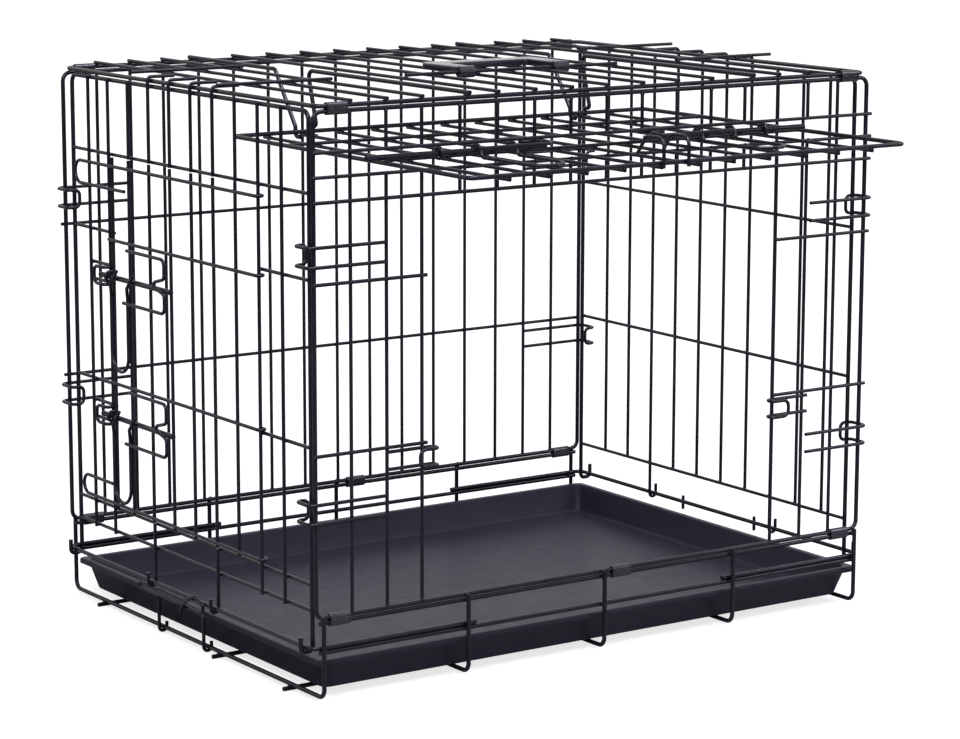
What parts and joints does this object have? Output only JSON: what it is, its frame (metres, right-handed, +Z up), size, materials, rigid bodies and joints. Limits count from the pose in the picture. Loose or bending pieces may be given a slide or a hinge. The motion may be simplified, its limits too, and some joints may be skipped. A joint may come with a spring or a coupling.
{
  "type": "wire dog crate",
  "caption": "Folding wire dog crate on a wire base with a slide-in floor pan, a front door raised like a canopy, a hinged side door with slide bolts and a carry handle.",
  "frame": {"origin": "on the floor under the middle of the crate", "axes": "+X along the crate away from the side door, front doorway towards -Y, +Z up"},
  "size_m": [0.6212, 0.5882, 0.5197],
  "materials": {
    "wire": "black electro-coated wire, semi-gloss",
    "sleeve": "black coated sheet, semi-gloss",
    "pan": "black moulded plastic, soft sheen",
    "handle": "black moulded plastic, satin"
  },
  "bodies": {
    "crate": {"back_clips": "wire", "back_crosswires": "wire", "back_frame": "wire", "back_uprights": "wire", "base_end_loops": "wire", "base_rails": "wire", "base_rungs": "wire", "bottom_sleeves": "sleeve", "door_hangers": "wire", "floor_stringers": "wire", "front_clips": "wire", "front_crosswires": "wire", "front_frame": "wire", "front_keepers": "wire", "front_transom": "wire", "front_uprights": "wire", "left_end_crosswires": "wire", "left_end_frame": "wire", "left_end_hooks": "wire", "left_end_wires": "wire", "pan_pegs": "wire", "right_end_crosswires": "wire", "right_end_frame": "wire", "right_end_hooks": "wire", "right_end_wires": "wire", "roof_crosswires": "wire", "roof_frame": "wire", "roof_long_wires": "wire", "roof_sleeves": "sleeve", "side_keepers": "wire"},
    "front_door": {"front_door_frame": "wire", "front_door_bars": "wire", "front_door_rods": "wire", "front_door_catches": "wire", "front_bolt_guides": "wire", "front_bolt_loops": "wire"},
    "front_left_bolt": {"front_left_rod": "wire", "front_left_grip": "wire"},
    "front_right_bolt": {"front_right_rod": "wire", "front_right_grip": "wire"},
    "side_door": {"side_door_bars": "wire", "side_door_rods": "wire", "side_bolt_guides": "wire", "side_bolt_loops": "wire"},
    "side_upper_bolt": {"side_upper_rod": "wire", "side_upper_grip": "wire"},
    "side_lower_bolt": {"side_lower_rod": "wire", "side_lower_grip": "wire"},
    "pan": {"floor_pan": "pan"},
    "gate": {"pan_gate": "wire", "gate_clip": "wire"},
    "handle": {"carry_handle": "handle"}
  },
  "joints": [
    {"name": "front_door_slide", "type": "slide", "parent": "crate", "child": "front_door", "axis": [0, -1, 0], "range_m": [0, 0.25]},
    {"name": "front_left_bolt_slide", "type": "slide", "parent": "front_door", "child": "front_left_bolt", "axis": [1, 0, 0], "range_m": [0, 0.025]},
    {"name": "front_right_bolt_slide", "type": "slide", "parent": "front_door", "child": "front_right_bolt", "axis": [1, 0, 0], "range_m": [0, 0.025]},
    {"name": "side_door_hinge", "type": "hinge", "parent": "crate", "child": "side_door", "pos_m": [-0.30015, -0.13491, 0], "axis": [0, 0, 1], "range_deg": [0, 150]},
    {"name": "side_upper_bolt_slide", "type": "slide", "parent": "side_door", "child": "side_upper_bolt", "axis": [0, 1, 0], "range_m": [0, 0.025]},
    {"name": "side_lower_bolt_slide", "type": "slide", "parent": "side_door", "child": "side_lower_bolt", "axis": [0, 1, 0], "range_m": [0, 0.025]},
    {"name": "pan_slide", "type": "slide", "parent": "crate", "child": "pan", "axis": [1, 0, 0], "range_m": [0, 0.4]},
    {"name": "pan_gate_swing", "type": "hinge", "parent": "crate", "child": "gate", "pos_m": [-0.295, 0, 0.00605], "axis": [0, -1, 0], "range_deg": [0, 90]},
    {"name": "carry_handle_flip", "type": "hinge", "parent": "crate", "child": "handle", "pos_m": [0, -0.082, 0.5143], "axis": [1, 0, 0], "range_deg": [0, 100]}
  ]
}
